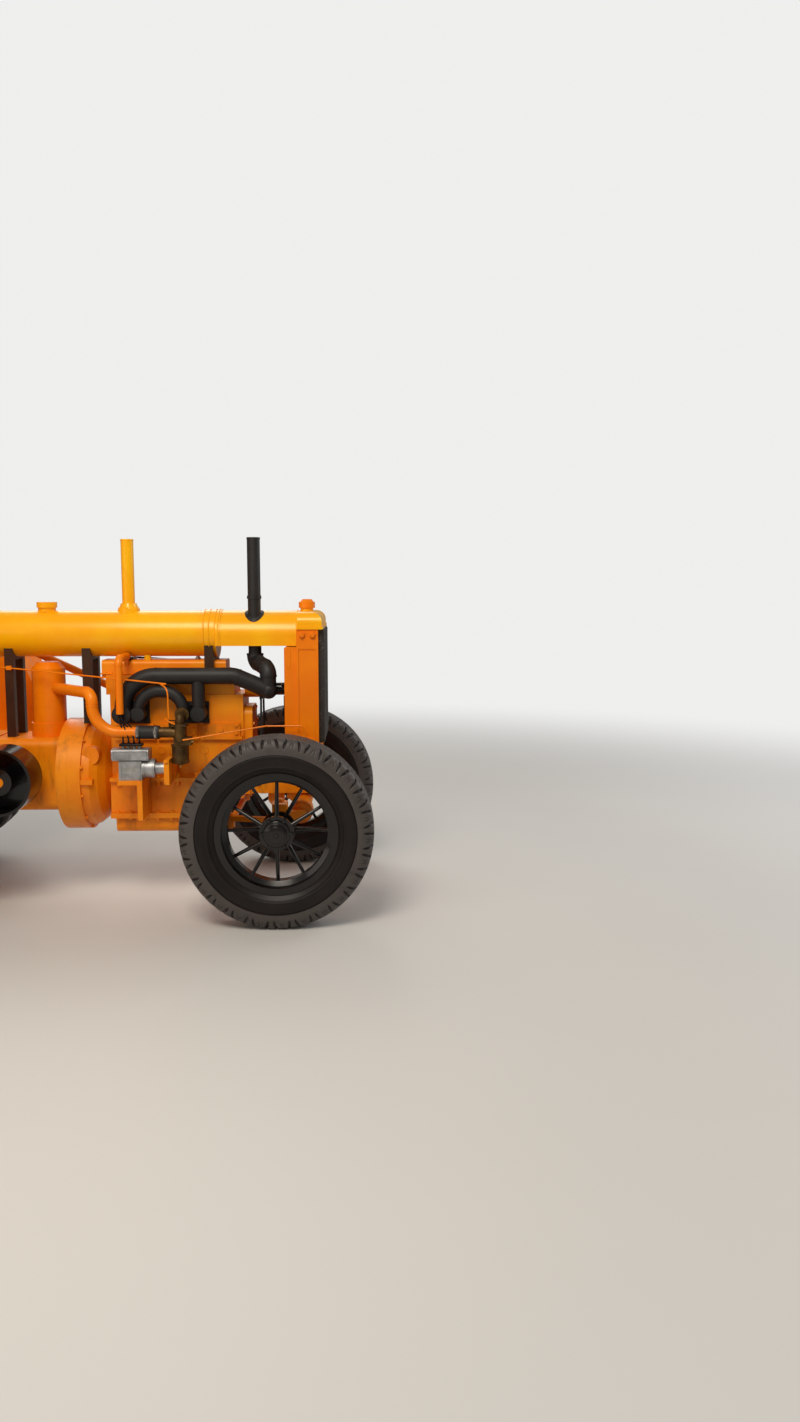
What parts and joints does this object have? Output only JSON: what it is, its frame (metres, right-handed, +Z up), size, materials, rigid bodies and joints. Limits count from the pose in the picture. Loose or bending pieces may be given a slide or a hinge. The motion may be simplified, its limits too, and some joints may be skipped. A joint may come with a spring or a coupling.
{
  "type": "vintage standard-tread tractor",
  "caption": "Four-wheel vintage farm tractor with open engine, round tank over it, spoked wheels, fenders, pan seat and steered front axle.",
  "frame": {"origin": "middle of the box's bottom face, on the floor under the tractor", "axes": "+X forward, +Y to the driver's left, +Z up"},
  "size_m": [3.135, 1.7336, 1.678],
  "materials": {
    "orange_castings": "semi-gloss",
    "orange_sheet": "gloss",
    "black_paint": "gloss",
    "black_stove": "matt",
    "dark_struts": "satin",
    "tyre": "matt",
    "hose": "matt",
    "magneto_alloy": "cast",
    "carburettor_bronze": "dull",
    "radiator_core": "dull"
  },
  "bodies": {
    "chassis": {"engine_block": "orange_castings", "oil_pan": "orange_castings", "cylinder_head": "orange_castings", "exhaust_manifold": "black_stove", "exhaust_pipe": "black_stove", "intake_tube": "orange_castings", "intake_hose": "hose", "carburettor": "carburettor_bronze", "magneto": "magneto_alloy", "wire_tube": "orange_castings", "clutch_housing": "orange_castings", "transmission_case": "orange_castings", "axle_housings": "orange_castings", "fuel_tank": "orange_sheet", "tank_cradles": "dark_struts", "front_hood": "orange_sheet", "intake_stack": "orange_sheet", "air_cleaner": "orange_castings", "radiator_core": "radiator_core", "radiator_tank": "orange_castings", "filler_cap": "orange_castings", "radiator_frame": "orange_castings", "front_bolster": "orange_castings", "front_axle": "orange_castings", "steering_column": "orange_castings", "foot_boards": "orange_sheet", "fender_right": "orange_sheet", "fender_left": "orange_sheet", "seat": "black_paint", "seat_support": "black_paint", "drawbar": "orange_castings", "pedals": "black_paint"},
    "knuckle_right": {"knuckle_right": "orange_castings"},
    "knuckle_left": {"knuckle_left": "orange_castings"},
    "front_wheel_right": {"front_tyre_right": "tyre", "front_wheel_right": "black_paint"},
    "front_wheel_left": {"front_tyre_left": "tyre", "front_wheel_left": "black_paint"},
    "rear_wheel_right": {"rear_tyre_right": "tyre", "rear_wheel_right": "black_paint"},
    "rear_wheel_left": {"rear_tyre_left": "tyre", "rear_wheel_left": "black_paint"},
    "tie_rod": {"tie_rod": "orange_castings"},
    "pitman_arm": {"pitman_arm": "orange_castings"},
    "steering_wheel": {"steering_wheel": "black_paint"},
    "fan": {"fan": "black_paint"},
    "belt_pulley": {"belt_pulley": "black_paint"}
  },
  "joints": [
    {"name": "steer_right", "type": "hinge", "parent": "chassis", "child": "knuckle_right", "pos_m": [1.1525, -0.395, 0.435], "axis": [0, 0, 1], "range_deg": [-26, 26]},
    {"name": "steer_left", "type": "hinge", "parent": "chassis", "child": "knuckle_left", "pos_m": [1.1525, 0.395, 0.435], "axis": [0, 0, 1], "range_deg": [-26, 26]},
    {"name": "tie_rod_pivot", "type": "hinge", "parent": "knuckle_right", "child": "tie_rod", "pos_m": [0.9275, -0.395, 0.412], "axis": [0, 0, 1], "range_deg": [-26, 26]},
    {"name": "pitman_pivot", "type": "hinge", "parent": "chassis", "child": "pitman_arm", "pos_m": [1.1525, 0.195, 0.412], "axis": [0, 0, 1], "range_deg": [-26, 26]},
    {"name": "steering_wheel_turn", "type": "hinge", "parent": "chassis", "child": "steering_wheel", "pos_m": [-0.5026, 0.195, 1.33381], "axis": [-0.9063, 0, 0.4226], "range_deg": [-312, 312]},
    {"name": "front_wheel_right_spin", "type": "hinge", "parent": "knuckle_right", "child": "front_wheel_right", "pos_m": [1.1525, -0.55, 0.415], "axis": [0, 1, 0], "continuous": true},
    {"name": "front_wheel_left_spin", "type": "hinge", "parent": "knuckle_left", "child": "front_wheel_left", "pos_m": [1.1525, 0.55, 0.415], "axis": [0, 1, 0], "continuous": true},
    {"name": "rear_wheel_right_spin", "type": "hinge", "parent": "chassis", "child": "rear_wheel_right", "pos_m": [-0.8875, -0.7, 0.68], "axis": [0, 1, 0], "continuous": true},
    {"name": "rear_wheel_left_spin", "type": "hinge", "parent": "chassis", "child": "rear_wheel_left", "pos_m": [-0.8875, 0.7, 0.68], "axis": [0, 1, 0], "continuous": true},
    {"name": "fan_spin", "type": "hinge", "parent": "chassis", "child": "fan", "pos_m": [1.1625, 0, 0.975], "axis": [1, 0, 0], "continuous": true},
    {"name": "belt_pulley_spin", "type": "hinge", "parent": "chassis", "child": "belt_pulley", "pos_m": [-0.0875, -0.23, 0.6], "axis": [0, 1, 0], "continuous": true}
  ],
  "couplings": [
    {"joint": "steer_left", "follows": "steer_right", "ratio": 1},
    {"joint": "tie_rod_pivot", "follows": "steer_right", "ratio": -1},
    {"joint": "pitman_pivot", "follows": "steer_right", "ratio": 1},
    {"joint": "steering_wheel_turn", "follows": "steer_right", "ratio": 12}
  ]
}
